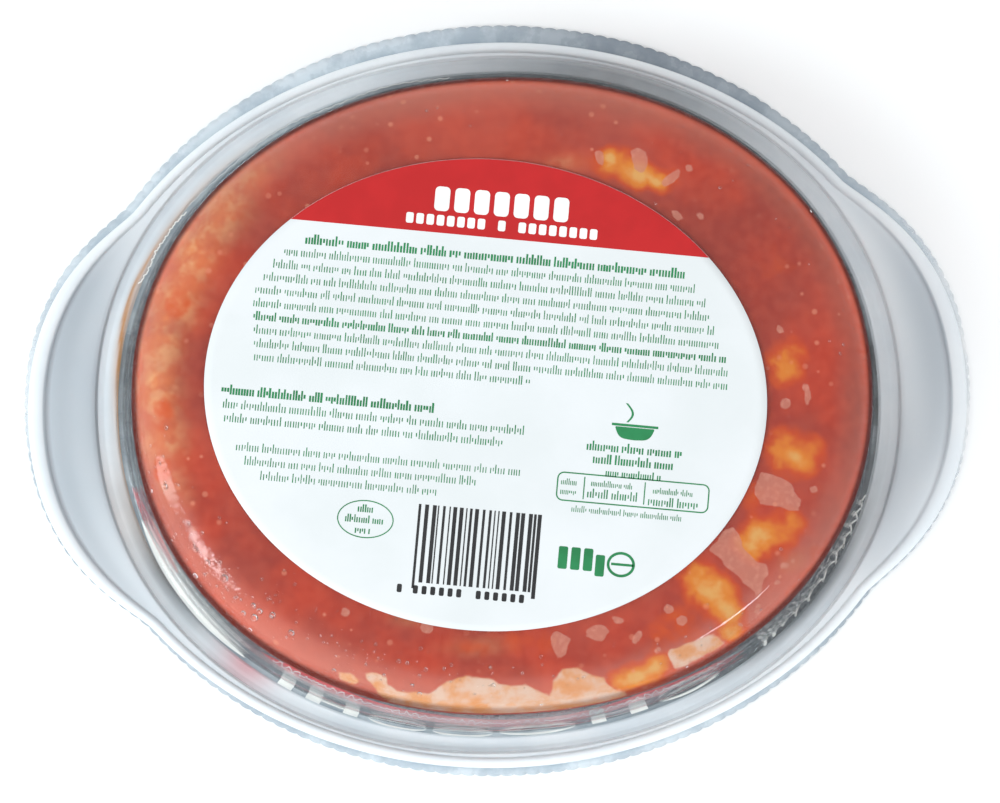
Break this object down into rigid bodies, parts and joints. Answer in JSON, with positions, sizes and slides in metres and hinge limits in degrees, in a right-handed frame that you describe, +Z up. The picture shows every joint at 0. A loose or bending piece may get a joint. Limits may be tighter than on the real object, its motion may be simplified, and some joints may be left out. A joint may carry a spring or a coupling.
{
  "type": "sealed tray of potato gnocchi in tomato sauce",
  "caption": "Shallow clear oval ready-meal tray with two ears, sealed with a film and lying on it, holding gnocchi in tomato sauce, with an oval label on its base.",
  "frame": {"origin": "centre of the bottom of the bounding box, in the middle of the lidding film's outer face", "axes": "+X from ear to ear, +Y across the tray towards the red end of the label, +Z up out of the tray's base"},
  "size_m": [0.2048, 0.163, 0.0325],
  "materials": {
    "clear_plastic": "clear, with a milky flange",
    "film": "thin glossy film, printed around the mouth",
    "label_paper": "smooth coated paper",
    "tomato_sauce": "wet"
  },
  "bodies": {
    "root": {"tray": "clear_plastic", "lidding_film": "film", "base_label": "label_paper", "gnocchi_in_sauce": "tomato_sauce"}
  },
  "joints": []
}
